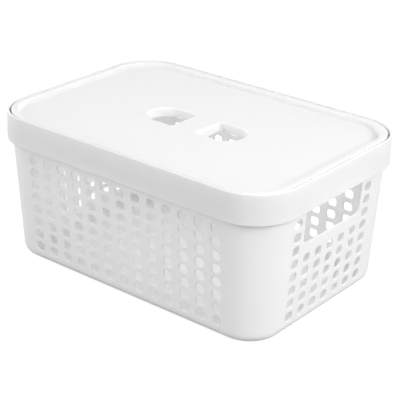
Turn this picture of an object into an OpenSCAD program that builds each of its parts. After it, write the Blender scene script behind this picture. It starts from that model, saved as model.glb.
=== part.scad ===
// Perforated storage bin with a lift-off lid.
// Origin: centre of the flat underside. X runs along the long side, Z is up.

/* [Overall size] */
// Outside length over the foot of the rim band
bin_length = 299; // [220:1:420]
// Outside width over the foot of the rim band
bin_width = 206; // [170:1:320]
// Height to the top of the rim
bin_height = 135; // [110:1:220]
// Outside corner radius at the foot of the rim band, seen from above
corner_r = 41; // [30:0.5:46]

/* [Rim band] */
// Height of the plain band that hangs round the top
band_h = 26; // [20:0.5:34]
// Thickness of the band
band_wall = 1.7; // [1.4:0.1:2.4]
// How far the band flares outward from its top to its foot
band_flare = 0.6; // [0:0.1:1]
// Step from the outside of the band in to the tub wall, at the foot of the band
band_step = 4.9; // [4.5:0.1:8]
// Depth of the lid seat below the top of the rim
seat_depth = 10; // [8:0.5:14]
// Thickness of the seat ledge
seat_t = 1.8; // [1.4:0.1:3]

/* [Tub] */
// Thickness of the side walls
wall = 1.8; // [1.4:0.1:2.6]
// Thickness of the floor
floor_t = 2; // [1.4:0.1:3]
// Lean of the side walls from upright, in degrees
draft = 3.6; // [2:0.1:5]
// Outside radius along the bottom edge
foot_r = 8.5; // [5:0.5:10]

/* [Perforations] */
// Width of one perforation
hole_w = 9; // [5:0.1:12]
// Height of one perforation
hole_h = 8; // [5:0.1:10]
// Corner radius of one perforation
hole_r = 2.8; // [1:0.1:4]
// Spacing of the columns in the long walls
pitch_long = 16.5; // [14:0.1:24]
// Spacing of the columns in the end walls
pitch_end = 16.4; // [14:0.1:24]
// Spacing of the rows
pitch_z = 11.9; // [11.5:0.1:18]
// From the foot of the band down to the centres of the top row
top_row_drop = 10.9; // [8:0.1:16]

/* [Hand holes] */
// Width of the hand hole in each end wall
hand_w = 79.5; // [60:0.5:90]
// From the foot of the band down to the lower edge of the hand hole
hand_drop = 32; // [26:0.5:36]
// How far the hand hole runs up behind the band
hand_rise = 8; // [4:0.5:11]
// Corner radius of the hand hole
hand_r = 5; // [3:0.5:12]

/* [Lid] */
// Clearance between the lid and the rim along the straight sides
lid_gap = 1.7; // [0.8:0.1:2.2]
// Extra corner radius of the lid, which widens the clearance at the corners
lid_corner_extra = 0.8; // [0:0.1:1.5]
// How far the top of the lid lies below the top of the rim
lid_below = 0.2; // [0:0.1:2]
// Thickness of the lid
lid_t = 1.7; // [1.2:0.1:2.5]
// Width of the raised rim of the lid
lid_rim_w = 6; // [4:0.5:10]
// Depth of the flat panel below the raised rim
panel_drop = 4.7; // [2:0.1:5.5]
// Width of the sloping step from the raised rim down to the panel
step_run = 1.3; // [0.8:0.1:4]

/* [Finger holes] */
// Width of the bar between the two finger holes
grip_bar = 25.4; // [18:0.1:32]
// Length of each finger hole
grip_len = 37.2; // [28:0.1:46]
// Half the width of each finger hole, and the radius of its round end
grip_r = 17.4; // [12:0.1:22]
// Radius of the two corners of a finger hole beside the bar
grip_corner_r = 2.5; // [1:0.1:5]
// Depth of the turned-down collar, from the face of the panel
collar_h = 8.6; // [4:0.1:10]
// Thickness of the collar
collar_wall = 1.6; // [1.2:0.1:2.4]

/* [Hidden] */
$fn = 64;

half_l = bin_length / 2;
half_w = bin_width / 2;
corner_x = half_l - corner_r;
corner_y = half_w - corner_r;

band_z = bin_height - band_h;
seat_z = bin_height - seat_depth;
lip_r = 0.75;
band_foot_r = 0.8;
cut_past = 2;
min_inner_r = 1;
fillet_steps = 6;
edge_steps = 3;
hole_steps = 2;
grip_steps = 24;

// Distance from a corner axis out to the tub wall at height z
function tub_out(z) = corner_r - band_step + (z - band_z) * tan(draft);
function tub_in(z) = tub_out(z) - wall / cos(draft);

// Distances from a corner axis out to the two faces of the band at height z
function band_out(z) = corner_r - band_flare * (z - band_z) / band_h;
function band_in(z) = band_out(z) - band_wall;

long_cols = 2 * floor(corner_x / pitch_long) + 1;
end_cols = 2 * floor(corner_y / pitch_end) + 1;
row_floor_gap = 1;
top_row_z = band_z - top_row_drop;
row_count = floor((top_row_z - foot_r - row_floor_gap - hole_h / 2) / pitch_z) + 1;

hand_z0 = band_z - hand_drop;
hand_z1 = band_z + hand_rise;
hand_clear = 2;

// A wall cutter starts in the free slot behind the band and ends inside the tub
slot_mid = (tub_out(hand_z1) + band_in(hand_z1)) / 2;
cutter_l = slot_mid - tub_in(0) + cut_past;

lid_side = band_in(bin_height) - lid_gap;
lid_r = lid_side + lid_corner_extra;
lid_x = corner_x + lid_side - lid_r;
lid_y = corner_y + lid_side - lid_r;
lid_top = bin_height - lid_below;
panel_z = lid_top - panel_drop;
lid_edge_r = 1.3;
step_r = 1;

// Points of an arc about c, from angle a0 to a1
function arc(c, r, a0, a1, n = fillet_steps) =
    [for (i = [0:n]) c + r * [cos(a0 + (a1 - a0) * i / n), sin(a0 + (a1 - a0) * i / n)]];

// Centre of a fillet of radius r between level z and the leaning face whose foot is at x
function foot_centre(x, z, r) = [x - r * tan(45 - draft / 2), z + r];

// Sweeps a profile round a rounded rectangle; profile x is the distance from the corner axes
module sweep(cx, cy) {
    for (sx = [0, 1], sy = [0, 1])
        mirror([sx, 0, 0]) mirror([0, sy, 0]) translate([cx, cy, 0])
            rotate_extrude(angle = 90) children();
    for (side = [0, 1]) {
        mirror([side, 0, 0]) translate([cx, cy, 0])
            rotate([90, 0, 0]) linear_extrude(2 * cy) children();
        mirror([0, side, 0]) translate([-cx, cy, 0])
            rotate([90, 0, 90]) linear_extrude(2 * cx) children();
    }
}

// Floor, bottom fillet, leaning wall, seat ledge and hanging band in one section
module basket_profile() {
    floor_out = foot_centre(tub_out(0), 0, foot_r);
    inner_r = max(foot_r - wall, min_inner_r);
    floor_in = foot_centre(tub_in(floor_t), floor_t, inner_r);
    under = seat_z - seat_t;
    foot_z = band_z + band_foot_r;
    lip_z = bin_height - lip_r;
    polygon(concat(
        [[0, floor_t], [0, 0]],
        arc(floor_out, foot_r, -90, -draft),
        [[tub_out(under), under], [band_in(under), under]],
        arc([band_in(foot_z) + band_foot_r, foot_z], band_foot_r, 180, 270, edge_steps),
        arc([band_out(foot_z) - band_foot_r, foot_z], band_foot_r, -90, 0, edge_steps),
        arc([band_out(lip_z) - lip_r, lip_z], lip_r, 0, 90, edge_steps),
        arc([band_in(lip_z) + lip_r, lip_z], lip_r, 90, 180, edge_steps),
        [[band_in(seat_z), seat_z], [tub_in(seat_z), seat_z]],
        arc(floor_in, inner_r, -draft, -90)
    ));
}

module rounded_hole(w, h, r) {
    x = w / 2 - r;
    y = h / 2 - r;
    polygon(concat(
        arc([x, y], r, 0, 90, hole_steps),
        arc([-x, y], r, 90, 180, hole_steps),
        arc([-x, -y], r, 180, 270, hole_steps),
        arc([x, -y], r, 270, 360, hole_steps)
    ));
}

// Cuts the perforations and the hand hole of the end wall that faces +X
module end_wall_cuts() {
    hand_half = hand_w / 2 + hand_clear + hole_w / 2;
    translate([corner_x + slot_mid, 0, 0]) rotate([90, 0, -90]) {
        for (col = [0:end_cols - 1], row = [0:row_count - 1]) {
            y = (col - (end_cols - 1) / 2) * pitch_end;
            z = top_row_z - row * pitch_z;
            in_hand = abs(y) < hand_half && z + hole_h / 2 + hand_clear > hand_z0;
            if (!in_hand)
                translate([y, z, 0]) linear_extrude(cutter_l)
                    rounded_hole(hole_w, hole_h, hole_r);
        }
        translate([0, (hand_z0 + hand_z1) / 2, 0]) linear_extrude(cutter_l)
            rounded_hole(hand_w, hand_z1 - hand_z0, hand_r);
    }
}

// Cuts the perforations of the long wall that faces -Y
module long_wall_cuts() {
    translate([0, -corner_y - slot_mid, 0]) rotate([90, 0, 180])
        for (col = [0:long_cols - 1], row = [0:row_count - 1])
            translate([(col - (long_cols - 1) / 2) * pitch_long, top_row_z - row * pitch_z, 0])
                linear_extrude(cutter_l) rounded_hole(hole_w, hole_h, hole_r);
}

module basket() {
    color("white") difference() {
        union() {
            sweep(corner_x, corner_y) basket_profile();
            translate([-corner_x, -corner_y, 0]) cube([2 * corner_x, 2 * corner_y, floor_t]);
        }
        for (side = [0, 1]) {
            mirror([side, 0, 0]) end_wall_cuts();
            mirror([0, side, 0]) long_wall_cuts();
        }
    }
}

// Skirt, raised rim, sloping step and flat panel of the lid in one section
module lid_profile() {
    rim_in = lid_r - lid_rim_w;
    panel_out = rim_in - step_run;
    slope = atan2(panel_drop, step_run);
    under_shift = lid_t * tan(slope / 2);
    polygon(concat(
        [[0, panel_z - lid_t], [panel_out + lid_t - under_shift, panel_z - lid_t]],
        [[rim_in + lid_t - under_shift, lid_top - lid_t], [lid_r - lid_t, lid_top - lid_t]],
        [[lid_r - lid_t, seat_z], [lid_r, seat_z]],
        arc([lid_r - lid_edge_r, lid_top - lid_edge_r], lid_edge_r, 0, 90, edge_steps),
        arc([rim_in + step_r * tan(slope / 2), lid_top - step_r], step_r, 90, 90 + slope, edge_steps),
        arc([panel_out - step_r * tan(slope / 2), panel_z + step_r], step_r, slope - 90, -90, edge_steps),
        [[0, panel_z]]
    ));
}

// Outline of the finger hole on the +X side, grown outwards by grow
module finger_outline(grow = 0) {
    r = grip_r + grow;
    cr = grip_corner_r + grow;
    x0 = grip_bar / 2 - grow;
    round_x = grip_bar / 2 + grip_len - grip_r;
    polygon(concat(
        arc([round_x, 0], r, -90, 90, grip_steps),
        arc([x0 + cr, r - cr], cr, 90, 180, edge_steps),
        arc([x0 + cr, cr - r], cr, 180, 270, edge_steps)
    ));
}

module lid() {
    color("white") difference() {
        union() {
            sweep(lid_x, lid_y) lid_profile();
            translate([-lid_x, -lid_y, panel_z - lid_t]) cube([2 * lid_x, 2 * lid_y, lid_t]);
            for (side = [0, 1])
                mirror([side, 0, 0]) translate([0, 0, panel_z - collar_h])
                    linear_extrude(collar_h) finger_outline(collar_wall);
        }
        for (side = [0, 1])
            mirror([side, 0, 0]) translate([0, 0, panel_z - collar_h - cut_past])
                linear_extrude(collar_h + 2 * cut_past) finger_outline();
    }
}

basket();
lid();
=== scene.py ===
import math

import bmesh
import bpy
from mathutils import Matrix, Vector


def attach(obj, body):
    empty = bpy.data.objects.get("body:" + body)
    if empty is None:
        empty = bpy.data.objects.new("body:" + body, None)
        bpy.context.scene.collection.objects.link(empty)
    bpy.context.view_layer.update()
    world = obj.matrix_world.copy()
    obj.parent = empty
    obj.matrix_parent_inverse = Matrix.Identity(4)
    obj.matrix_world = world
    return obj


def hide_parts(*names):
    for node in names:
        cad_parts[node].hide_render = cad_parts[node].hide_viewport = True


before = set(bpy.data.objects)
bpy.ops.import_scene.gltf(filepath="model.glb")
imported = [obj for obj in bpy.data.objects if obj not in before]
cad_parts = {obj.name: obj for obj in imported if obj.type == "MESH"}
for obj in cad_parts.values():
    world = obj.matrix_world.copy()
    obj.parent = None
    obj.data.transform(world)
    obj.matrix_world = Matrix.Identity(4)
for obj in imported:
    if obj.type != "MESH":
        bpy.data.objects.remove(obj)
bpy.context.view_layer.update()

MM = 0.001

# Sizes of the bin in millimetres, the same as in the part's source
HALF_L = 299 / 2
HALF_W = 206 / 2
HEIGHT = 135
CORNER_R = 41
BAND_H = 26
BAND_WALL = 1.7
BAND_FLARE = 0.6
BAND_STEP = 4.9
SEAT_DEPTH = 10
SEAT_T = 1.8
WALL = 1.8
FLOOR_T = 2
DRAFT = math.radians(3.6)
FOOT_R = 8.5
HOLE_W = 9
HOLE_H = 8
HOLE_R = 2.8
PITCH_LONG = 16.5
PITCH_END = 16.4
PITCH_Z = 11.9
TOP_ROW_DROP = 10.9
COLS_LONG = 13
COLS_END = 7
ROWS = 8
HAND_W = 79.5
HAND_DROP = 32
HAND_RISE = 8
HAND_R = 5
HAND_COLS = 5
HAND_ROWS = 3

CORNER_X = HALF_L - CORNER_R
CORNER_Y = HALF_W - CORNER_R
SEAT_Z = HEIGHT - SEAT_DEPTH
BAND_Z = HEIGHT - BAND_H
TOP_ROW_Z = BAND_Z - TOP_ROW_DROP
HAND_Z0 = BAND_Z - HAND_DROP
HAND_Z1 = BAND_Z + HAND_RISE

# Lid sizes
LID_GAP = 1.7
LID_CORNER_EXTRA = 0.8
LID_BELOW = 0.2
LID_T = 1.7
LID_RIM_W = 6
PANEL_DROP = 4.7
STEP_RUN = 1.3
GRIP_BAR = 25.4
GRIP_LEN = 37.2
GRIP_R = 17.4
GRIP_CORNER_R = 2.5
COLLAR_H = 8.6
COLLAR_WALL = 1.6

LID_SIDE = CORNER_R - BAND_FLARE - BAND_WALL - LID_GAP
LID_R = LID_SIDE + LID_CORNER_EXTRA
LID_X = CORNER_X + LID_SIDE - LID_R
LID_Y = CORNER_Y + LID_SIDE - LID_R
LID_TOP = HEIGHT - LID_BELOW
PANEL_Z = LID_TOP - PANEL_DROP
RIM_IN = LID_R - LID_RIM_W
PANEL_OUT = RIM_IN - STEP_RUN

# Edge rounding that the moulding shows close up
LIP_R = 0.75
BAND_FOOT_R = 0.8
SEAT_EDGE_R = 0.5
HOLE_EDGE = 0.35
HAND_EDGE = 0.6
LID_EDGE_R = 1.3
LID_STEP_R = 1.0
SKIRT_EDGE_R = 0.4
GRIP_EDGE_R = 1.0
COLLAR_FOOT_R = 0.5
COLLAR_ROOT_R = 0.7

# How far in from the edge of a flat face the ring round it lies
FLOOR_INSET = 2
PANEL_INSET = 4

# The last mesh line of the wall, a little above the hand holes
HAND_CELL_RISE = 2
HAND_CELL_TOP = HAND_Z1 + HAND_CELL_RISE

# Counts that set how fine the meshes are. SEG is the steps along a cell's side, an even number.
SEG = 6
HOLE_CORNER_SEG = SEG // 2 - 1
CORNER_SEG = 16
FILLET_SEG = 8
EDGE_SEG = 4
HOLE_EDGE_SEG = 3
GRIP_SEG = 32
GRIP_CORNER_SEG = 6
SHARP = math.radians(50)

# White plastic: its two tones, where one turns into the other, and its gloss
TONE_LOW = 0.93, 0.93, 0.93, 1
TONE_HIGH = 0.95, 0.95, 0.947, 1
TONE_FROM = 0.3
TONE_TO = 0.7
ROUGH_LOW = 0.34
ROUGH_HIGH = 0.46
PLASTIC_IOR = 1.49

# Marks in the plastic, as how many lie along a metre
CLOUDS = 14
SMEARS = 60
GRAIN = 1500
WAVES = 45

# Strength of the marks that stand out, and their height in metres
GRAIN_STRENGTH = 0.05
GRAIN_HEIGHT = 0.0002
WAVE_STRENGTH = 0.08
WAVE_HEIGHT = 0.001

# How much light soaks into the plastic, and how far in metres
SOAK_SHARE = 0.8
SOAK_REACH = 0.003

# Camera, from a fit to the photograph: angles in radians, place in bin heights
CAMERA_AZIMUTH = 0.6753
CAMERA_ELEVATION = 0.4278
CAMERA_ROLL = 0.0227
CAMERA_PLACE = 4.7403, -5.865, 3.8724
CAMERA_LENS = 115
CAMERA_SENSOR = 36
CAMERA_NEAR = 0.01

# Soft lights: azimuth and elevation in degrees, and power in watts. Azimuth 0 is +X and 90 is +Y.
SOFTBOXES = {
    "key_light": (0, 32, 14.8),
    "front_light": (248, 25, 6.9),
    "left_light": (180, 12, 9.1),
    "back_light": (90, 12, 9.3),
}

# Studio sizes in metres
SOFTBOX_REACH = 1.6
SOFTBOX_SIZE = 0.9
GLOW_Z = 0.115
GLOW_SIZE = 0.22, 0.14
FLOOR_REACH = 8

# Power of the glow in watts, and the tones of sky and floor. The whites are what only the camera sees.
GLOW_WATTS = 0.063
SKY_LIGHT = 0.534
SKY_WHITE = 1
FLOOR_GREY = 0.4
FLOOR_WHITE = 0.8


def arc(cx, cz, r, start, end, n):
    """Points of an arc about (cx, cz), from one angle to another in degrees."""
    turn = [math.radians(start + (end - start) * k / n) for k in range(n + 1)]
    return [(cx + r * math.cos(a), cz + r * math.sin(a)) for a in turn]


# Distances from a corner axis out to the faces of the tub wall and of the band, at height z
def tub_out(z):
    return CORNER_R - BAND_STEP + (z - BAND_Z) * math.tan(DRAFT)


def tub_in(z):
    return tub_out(z) - WALL / math.cos(DRAFT)


def band_out(z):
    return CORNER_R - BAND_FLARE * (z - BAND_Z) / BAND_H


def band_in(z):
    return band_out(z) - BAND_WALL


class Sweep:
    """A section swept round a rounded rectangle. Section x is the distance from the corner axes."""

    def __init__(self, axis_x, axis_y, section, laterals):
        self.bm = bmesh.new()
        self.section = section
        self.stations = []
        self.side_start = []
        self.made = {}
        for side in range(4):
            turn = math.pi / 2 * side
            out = Vector((math.cos(turn), math.sin(turn)))
            along = Vector((-out.y, out.x))
            middle = Vector((out.x * axis_x, out.y * axis_y))
            lateral = laterals[side % 2]
            self.side_start.append(len(self.stations))
            self.stations += [(middle + along * s, out) for s in lateral]
            corner = middle + along * lateral[-1]
            for k in range(1, CORNER_SEG):
                a = turn + math.pi / 2 * k / CORNER_SEG
                self.stations.append((corner, Vector((math.cos(a), math.sin(a)))))

    def place(self, side, s, z, reach):
        """A new vertex on a straight side, s along it from its middle."""
        first, out = self.stations[self.side_start[side]]
        along = Vector((-out.y, out.x))
        start = first - along * first.dot(along)
        p = start + along * s + out * reach
        return self.bm.verts.new(Vector((p.x, p.y, z)) * MM)

    def vert(self, i, j):
        """The vertex at station i and section point j, made when it is first asked for."""
        i %= len(self.stations)
        if (i, j) not in self.made:
            base, out = self.stations[i]
            reach, z = self.section[j]
            p = base + out * reach
            self.made[i, j] = self.bm.verts.new(Vector((p.x, p.y, z)) * MM)
        return self.made[i, j]

    def ring(self, j):
        """All the vertices of section point j, once round."""
        return [self.vert(i, j) for i in range(len(self.stations))]

    def skin(self, skip=()):
        """Faces between all stations and section points, but for those in skip."""
        for i in range(len(self.stations)):
            for j in range(len(self.section) - 1):
                if (i, j) not in skip:
                    self.bm.faces.new(
                        (self.vert(i, j), self.vert(i + 1, j), self.vert(i + 1, j + 1), self.vert(i, j + 1))
                    )

    def bridge(self, loops):
        """Bands of faces from each closed loop to the next."""
        for a, b in zip(loops, loops[1:]):
            for k in range(len(a)):
                m = (k + 1) % len(a)
                self.bm.faces.new((a[k], a[m], b[m], b[k]))

    def finish(self, name, body, material):
        """Turns the mesh into a piece that rides on its body."""
        bm = self.bm
        bmesh.ops.recalc_face_normals(bm, faces=bm.faces)
        for e in bm.edges:
            e.smooth = e.calc_face_angle(0) < SHARP
        for f in bm.faces:
            f.smooth = True
        mesh = bpy.data.meshes.new(name)
        bm.to_mesh(mesh)
        bm.free()
        piece = bpy.data.objects.new(name, mesh)
        bpy.context.scene.collection.objects.link(piece)
        mesh.materials.append(material)
        weighted = piece.modifiers.new("weighted_normals", "WEIGHTED_NORMAL")
        weighted.keep_sharp = True
        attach(piece, body)
        return piece


def cell_outline(w, h, r):
    """A rounded rectangle with SEG points a side, in step with the edge of its cell."""
    points = []
    for quarter in range(4):
        a, b = (w / 2, h / 2) if quarter % 2 == 0 else (h / 2, w / 2)
        cos_q = round(math.cos(math.pi / 2 * quarter))
        sin_q = round(math.sin(math.pi / 2 * quarter))
        side = arc(r - a, r - b, r, -135, -90, HOLE_CORNER_SEG) + [(0, -b)]
        side += arc(a - r, r - b, r, -90, -45, HOLE_CORNER_SEG)[:-1]
        points += [(x * cos_q - y * sin_q, x * sin_q + y * cos_q) for x, y in side]
    return points


def nearest_outline(loop, centre, w, h, r):
    """The point of a rounded rectangle nearest each point of the loop."""
    core_x, core_y = w / 2 - r, h / 2 - r
    points = []
    for s, z in loop:
        p = Vector((s - centre[0], z - centre[1]))
        core = Vector((max(-core_x, min(core_x, p.x)), max(-core_y, min(core_y, p.y))))
        edge = core + (p - core).normalized() * r
        points.append((edge.x + centre[0], edge.y + centre[1]))
    return points


def edge_rings(radius, thickness):
    """How far a hole's outline grows and how deep it lies, ring by ring through the wall."""
    near = []
    for k in range(HOLE_EDGE_SEG + 1):
        a = math.pi / 2 * k / HOLE_EDGE_SEG
        near.append((radius * (1 - math.sin(a)), radius * (1 - math.cos(a))))
    return near + [(grow, thickness - depth) for grow, depth in reversed(near)]


# Basket
def foot_centre(reach, z, r):
    """Centre of a fillet between level z and the leaning face whose foot is at reach."""
    return reach - r * math.tan(math.pi / 4 - DRAFT / 2), z + r


def basket_section(lines):
    """The open section of the basket, from under the floor over the rim to the floor's top face."""
    lean = math.degrees(DRAFT)
    under = SEAT_Z - SEAT_T
    foot_z = BAND_Z + BAND_FOOT_R
    lip_z = HEIGHT - LIP_R
    inner_r = FOOT_R - WALL
    floor_out = foot_centre(tub_out(0), 0, FOOT_R)
    floor_in = foot_centre(tub_in(FLOOR_T), FLOOR_T, inner_r)
    outer = [(floor_out[0] - FLOOR_INSET, 0)] + arc(*floor_out, FOOT_R, -90, -lean, FILLET_SEG)
    outer_start = len(outer)
    outer += [(tub_out(z), z) for z in lines]
    rim = [(tub_out(under), under), (band_in(under), under)]
    rim += arc(band_in(foot_z) + BAND_FOOT_R, foot_z, BAND_FOOT_R, 180, 270, EDGE_SEG)
    rim += arc(band_out(foot_z) - BAND_FOOT_R, foot_z, BAND_FOOT_R, -90, 0, EDGE_SEG)
    rim += arc(band_out(lip_z) - LIP_R, lip_z, LIP_R, 0, 90, EDGE_SEG)
    rim += arc(band_in(lip_z) + LIP_R, lip_z, LIP_R, 90, 180, EDGE_SEG)
    rim += arc(band_in(SEAT_Z) - SEAT_EDGE_R, SEAT_Z + SEAT_EDGE_R, SEAT_EDGE_R, 0, -90, EDGE_SEG)
    rim += arc(tub_in(SEAT_Z) + SEAT_EDGE_R, SEAT_Z - SEAT_EDGE_R, SEAT_EDGE_R, 90, 180, EDGE_SEG)
    inner_start = len(outer) + len(rim)
    inner = [(tub_in(z), z) for z in reversed(lines)]
    inner += arc(*floor_in, inner_r, -lean, -90, FILLET_SEG) + [(floor_in[0] - FLOOR_INSET, FLOOR_T)]
    return outer + rim + inner, outer_start, inner_start


def side_laterals(half, cols, pitch):
    """Where the mesh lines stand along a side: both ends, and SEG steps to each column."""
    first = -cols * pitch / 2
    return [-half] + [first + k * pitch / SEG for k in range(cols * SEG + 1)] + [half]


def make_basket(material):
    low = TOP_ROW_Z - (ROWS - 0.5) * PITCH_Z
    lines = [low + k * PITCH_Z / SEG for k in range(ROWS * SEG + 1)] + [HAND_CELL_TOP]
    section, outer_start, inner_start = basket_section(lines)
    laterals = [
        side_laterals(CORNER_Y, COLS_END, PITCH_END),
        side_laterals(CORNER_X, COLS_LONG, PITCH_LONG),
    ]
    sweep = Sweep(CORNER_X, CORNER_Y, section, laterals)
    thickness = WALL / math.cos(DRAFT)
    skip = set()

    def outer_j(line):
        return outer_start + line

    def inner_j(line):
        return inner_start + len(lines) - 1 - line

    def open_cell(side, col0, col1, line0, line1, outline, edge):
        """Leaves the cell's faces out and lines the hole through both faces of the wall."""
        first = sweep.side_start[side] + 1
        i0, i1 = first + col0 * SEG, first + col1 * SEG
        across = laterals[side % 2][1:-1]
        walk = [(i, line0) for i in range(i0, i1)] + [(i1, n) for n in range(line0, line1)]
        walk += [(i, line1) for i in range(i1, i0, -1)] + [(i0, n) for n in range(line1, line0, -1)]
        for i in range(i0, i1):
            for n in range(line0, line1):
                skip.update([(i, outer_j(n)), (i, inner_j(n + 1))])
        loop = [(across[i - first], lines[n]) for i, n in walk]
        loops = [[sweep.vert(i, outer_j(n)) for i, n in walk]]
        for grow, depth in edge_rings(edge, thickness):
            loops.append([sweep.place(side, s, z, tub_out(z) - depth) for s, z in outline(loop, grow)])
        loops.append([sweep.vert(i, inner_j(n)) for i, n in walk])
        sweep.bridge(loops)

    def perforation(loop, grow):
        s = sum(p[0] for p in loop) / len(loop)
        z = sum(p[1] for p in loop) / len(loop)
        shape = cell_outline(HOLE_W + 2 * grow, HOLE_H + 2 * grow, HOLE_R + grow)
        return [(s + x, z + y) for x, y in shape]

    def hand_hole(loop, grow):
        centre = (0, (HAND_Z0 + HAND_Z1) / 2)
        return nearest_outline(
            loop, centre, HAND_W + 2 * grow, HAND_Z1 - HAND_Z0 + 2 * grow, HAND_R + grow
        )

    for side in range(4):
        is_end = side % 2 == 0
        cols = COLS_END if is_end else COLS_LONG
        hand_col = (cols - HAND_COLS) // 2
        for col in range(cols):
            for row in range(ROWS):
                if is_end and row < HAND_ROWS and hand_col <= col < hand_col + HAND_COLS:
                    continue
                line = (ROWS - 1 - row) * SEG
                open_cell(side, col, col + 1, line, line + SEG, perforation, HOLE_EDGE)
        if is_end:
            line = (ROWS - HAND_ROWS) * SEG
            open_cell(side, hand_col, hand_col + HAND_COLS, line, len(lines) - 1, hand_hole, HAND_EDGE)
    sweep.skin(skip)
    for j in (0, len(section) - 1):
        sweep.bm.faces.new(sweep.ring(j))
    return sweep.finish("basket_moulding", "basket", material)


# Lid
def lid_section():
    """The section of the lid, from its panel round the rim and skirt and back under the panel."""
    slope = math.atan2(LID_TOP - PANEL_Z, RIM_IN - PANEL_OUT)
    lean = math.degrees(slope)
    shift = LID_STEP_R * math.tan(slope / 2)
    under = LID_T * math.tan(slope / 2)
    skirt_in = LID_R - LID_T
    section = [(PANEL_OUT - PANEL_INSET, PANEL_Z)]
    section += arc(PANEL_OUT - shift, PANEL_Z + LID_STEP_R, LID_STEP_R, -90, lean - 90, FILLET_SEG)
    section += arc(RIM_IN + shift, LID_TOP - LID_STEP_R, LID_STEP_R, 90 + lean, 90, FILLET_SEG)
    section += arc(LID_R - LID_EDGE_R, LID_TOP - LID_EDGE_R, LID_EDGE_R, 90, 0, FILLET_SEG)
    section += arc(LID_R - SKIRT_EDGE_R, SEAT_Z + SKIRT_EDGE_R, SKIRT_EDGE_R, 0, -90, EDGE_SEG)
    section += arc(skirt_in + SKIRT_EDGE_R, SEAT_Z + SKIRT_EDGE_R, SKIRT_EDGE_R, -90, -180, EDGE_SEG)
    section += [(skirt_in, LID_TOP - LID_T), (RIM_IN + LID_T - under, LID_TOP - LID_T)]
    section += [(PANEL_OUT + LID_T - under, PANEL_Z - LID_T)]
    section += [(PANEL_OUT - PANEL_INSET, PANEL_Z - LID_T)]
    return section


def finger_outline(side, grow):
    """The D of one finger hole, with its flat side on the bar. Side is 1 or -1."""
    r = GRIP_R + grow
    corner = GRIP_CORNER_R + grow
    x0 = GRIP_BAR / 2 - grow
    round_x = GRIP_BAR / 2 + GRIP_LEN - GRIP_R
    points = arc(round_x, 0, r, -90, 90, GRIP_SEG)
    points += arc(x0 + corner, r - corner, corner, 90, 180, GRIP_CORNER_SEG)
    points += arc(x0 + corner, corner - r, corner, 180, 270, GRIP_CORNER_SEG)
    return [(side * x, side * y) for x, y in points]


def loop_edges(verts):
    """The edges that join the vertices of a closed loop."""
    edges = []
    for a, b in zip(verts, verts[1:] + verts[:1]):
        shared = [e for e in a.link_edges if e.other_vert(a) == b]
        edges.append(shared[0])
    return edges


def make_lid(material):
    laterals = [[-LID_Y, -LID_Y / 2, 0, LID_Y / 2, LID_Y], [-LID_X, -LID_X / 2, 0, LID_X / 2, LID_X]]
    sweep = Sweep(LID_X, LID_Y, lid_section(), laterals)
    sweep.skin()
    foot_z = PANEL_Z - COLLAR_H + COLLAR_FOOT_R
    root_z = PANEL_Z - LID_T - COLLAR_ROOT_R
    profile = arc(-GRIP_EDGE_R, PANEL_Z - GRIP_EDGE_R, GRIP_EDGE_R, 90, 0, FILLET_SEG)
    profile += arc(-COLLAR_FOOT_R, foot_z, COLLAR_FOOT_R, 0, -90, EDGE_SEG)
    profile += arc(COLLAR_FOOT_R - COLLAR_WALL, foot_z, COLLAR_FOOT_R, -90, -180, EDGE_SEG)
    profile += arc(-COLLAR_WALL - COLLAR_ROOT_R, root_z, COLLAR_ROOT_R, 0, 90, EDGE_SEG)
    top_edges = loop_edges(sweep.ring(0))
    under_edges = loop_edges(sweep.ring(len(sweep.section) - 1))
    for side in (1, -1):
        loops = [
            [sweep.bm.verts.new(Vector((x, y, z)) * MM) for x, y in finger_outline(side, -inward)]
            for inward, z in profile
        ]
        sweep.bridge(loops)
        top_edges += loop_edges(loops[0])
        under_edges += loop_edges(loops[-1])
    for edges in (top_edges, under_edges):
        bmesh.ops.triangle_fill(sweep.bm, edges=edges, use_beauty=True)
    return sweep.finish("lid_moulding", "lid", material)


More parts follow.
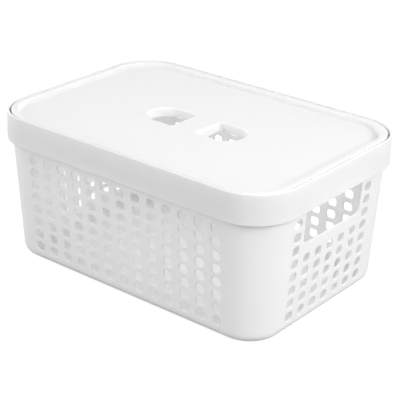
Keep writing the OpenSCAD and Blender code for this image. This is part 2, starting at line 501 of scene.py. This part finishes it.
# Material
def white_plastic(name):
    """Satin white polypropylene: faint flow marks, fine moulded grain, light that soaks in a little."""
    material = bpy.data.materials.new(name)
    material.use_nodes = True
    nodes, links = material.node_tree.nodes, material.node_tree.links
    shader = nodes["Principled BSDF"]
    place = nodes.new("ShaderNodeTexCoord")

    def noise(scale, detail, seed):
        n = nodes.new("ShaderNodeTexNoise")
        n.noise_dimensions = "4D"
        n.inputs["W"].default_value = seed
        n.inputs["Scale"].default_value = scale
        n.inputs["Detail"].default_value = detail
        links.new(place.outputs["Object"], n.inputs["Vector"])
        return n

    def bump(marks, strength, height):
        b = nodes.new("ShaderNodeBump")
        b.inputs["Strength"].default_value = strength
        b.inputs["Distance"].default_value = height
        links.new(marks.outputs["Fac"], b.inputs["Height"])
        return b

    clouds = noise(CLOUDS, detail=3, seed=1)
    ramp = nodes.new("ShaderNodeValToRGB")
    low, high = ramp.color_ramp.elements
    low.position = TONE_FROM
    low.color = TONE_LOW
    high.position = TONE_TO
    high.color = TONE_HIGH
    links.new(clouds.outputs["Fac"], ramp.inputs["Fac"])
    links.new(ramp.outputs["Color"], shader.inputs["Base Color"])

    smears = noise(SMEARS, detail=4, seed=2)
    rough = nodes.new("ShaderNodeMapRange")
    rough.inputs["To Min"].default_value = ROUGH_LOW
    rough.inputs["To Max"].default_value = ROUGH_HIGH
    links.new(smears.outputs["Fac"], rough.inputs["Value"])
    links.new(rough.outputs["Result"], shader.inputs["Roughness"])

    grain = noise(GRAIN, detail=2, seed=3)
    waves = noise(WAVES, detail=1, seed=4)
    fine = bump(grain, GRAIN_STRENGTH, GRAIN_HEIGHT)
    broad = bump(waves, WAVE_STRENGTH, WAVE_HEIGHT)
    links.new(fine.outputs["Normal"], broad.inputs["Normal"])
    links.new(broad.outputs["Normal"], shader.inputs["Normal"])

    shader.inputs["IOR"].default_value = PLASTIC_IOR
    shader.inputs["Subsurface Weight"].default_value = SOAK_SHARE
    shader.inputs["Subsurface Radius"].default_value = (1, 1, 1)
    shader.inputs["Subsurface Scale"].default_value = SOAK_REACH
    return material


# Camera
def make_camera():
    azimuth, elevation, roll = CAMERA_AZIMUTH, CAMERA_ELEVATION, CAMERA_ROLL
    place = Vector(CAMERA_PLACE) * HEIGHT * MM
    back = Vector((
        math.sin(azimuth) * math.cos(elevation),
        -math.cos(azimuth) * math.cos(elevation),
        math.sin(elevation),
    ))
    level = Vector((math.cos(azimuth), math.sin(azimuth), 0))
    up = back.cross(level)
    right = math.cos(roll) * level + math.sin(roll) * up
    top = math.cos(roll) * up - math.sin(roll) * level
    camera = bpy.data.objects.new("camera", bpy.data.cameras.new("camera"))
    bpy.context.scene.collection.objects.link(camera)
    camera.matrix_world = Matrix.Translation(place) @ Matrix((right, top, back)).transposed().to_4x4()
    camera.data.sensor_width = CAMERA_SENSOR
    camera.data.lens = CAMERA_LENS
    camera.data.clip_start = CAMERA_NEAR
    bpy.context.scene.camera = camera


# Studio
def add_light(name, kind, place, aim, watts):
    light = bpy.data.lights.new(name, "AREA")
    light.shape = kind
    light.energy = watts
    lamp = bpy.data.objects.new(name, light)
    bpy.context.scene.collection.objects.link(lamp)
    lamp.location = place
    lamp.rotation_euler = (aim - place).to_track_quat("-Z", "Y").to_euler()
    return lamp


def softbox(name, azimuth, elevation, watts):
    """A round soft light that looks at the middle of the bin."""
    aim = Vector((0, 0, HEIGHT / 2 * MM))
    turn, tilt = math.radians(azimuth), math.radians(elevation)
    out = Vector((math.cos(turn) * math.cos(tilt), math.sin(turn) * math.cos(tilt), math.sin(tilt)))
    lamp = add_light(name, "DISK", aim + out * SOFTBOX_REACH, aim, watts)
    lamp.data.size = SOFTBOX_SIZE


def lid_glow():
    """Stands for the daylight that soaks through the thin lid and fills the basket."""
    place = Vector((0, 0, GLOW_Z))
    lamp = add_light("lid_glow", "RECTANGLE", place, Vector((0, 0, 0)), GLOW_WATTS)
    lamp.data.size, lamp.data.size_y = GLOW_SIZE
    lamp.visible_camera = False
    lamp.visible_glossy = False


def white_to_camera(nodes, links, shader, strength):
    """Adds white that only the camera sees, so that the backdrop burns out as in a product photo."""
    path = nodes.new("ShaderNodeLightPath")
    extra = nodes.new("ShaderNodeEmission")
    extra.inputs["Strength"].default_value = strength
    nothing = nodes.new("ShaderNodeEmission")
    nothing.inputs["Strength"].default_value = 0
    choose = nodes.new("ShaderNodeMixShader")
    both = nodes.new("ShaderNodeAddShader")
    links.new(path.outputs["Is Camera Ray"], choose.inputs[0])
    links.new(nothing.outputs[0], choose.inputs[1])
    links.new(extra.outputs[0], choose.inputs[2])
    links.new(shader.outputs[0], both.inputs[0])
    links.new(choose.outputs[0], both.inputs[1])
    return both


def make_sky():
    world = bpy.data.worlds.new("studio")
    bpy.context.scene.world = world
    world.use_nodes = True
    nodes, links = world.node_tree.nodes, world.node_tree.links
    sky = nodes["Background"]
    sky.inputs["Color"].default_value = (1, 1, 1, 1)
    sky.inputs["Strength"].default_value = SKY_LIGHT
    seen = white_to_camera(nodes, links, sky, SKY_WHITE)
    links.new(seen.outputs[0], nodes["World Output"].inputs[0])


def make_floor():
    mesh = bpy.data.meshes.new("floor")
    corners = [(x * FLOOR_REACH, y * FLOOR_REACH, 0) for x, y in ((-1, -1), (1, -1), (1, 1), (-1, 1))]
    mesh.from_pydata(corners, [], [(0, 1, 2, 3)])
    floor = bpy.data.objects.new("floor", mesh)
    bpy.context.scene.collection.objects.link(floor)
    paint = bpy.data.materials.new("floor_paper")
    paint.use_nodes = True
    nodes, links = paint.node_tree.nodes, paint.node_tree.links
    paper = nodes["Principled BSDF"]
    paper.inputs["Base Color"].default_value = (FLOOR_GREY, FLOOR_GREY, FLOOR_GREY, 1)
    paper.inputs["Roughness"].default_value = 1
    paper.inputs["Specular IOR Level"].default_value = 0
    seen = white_to_camera(nodes, links, paper, FLOOR_WHITE)
    links.new(seen.outputs[0], nodes["Material Output"].inputs[0])
    mesh.materials.append(paint)


def make_studio():
    bpy.context.scene.view_settings.view_transform = "Standard"
    make_sky()
    make_floor()
    for name, (azimuth, elevation, watts) in SOFTBOXES.items():
        softbox(name, azimuth, elevation, watts)
    lid_glow()


basket = make_basket(white_plastic("basket_plastic"))
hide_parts("basket")
lid = make_lid(white_plastic("lid_plastic"))
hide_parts("lid")
make_studio()
make_camera()
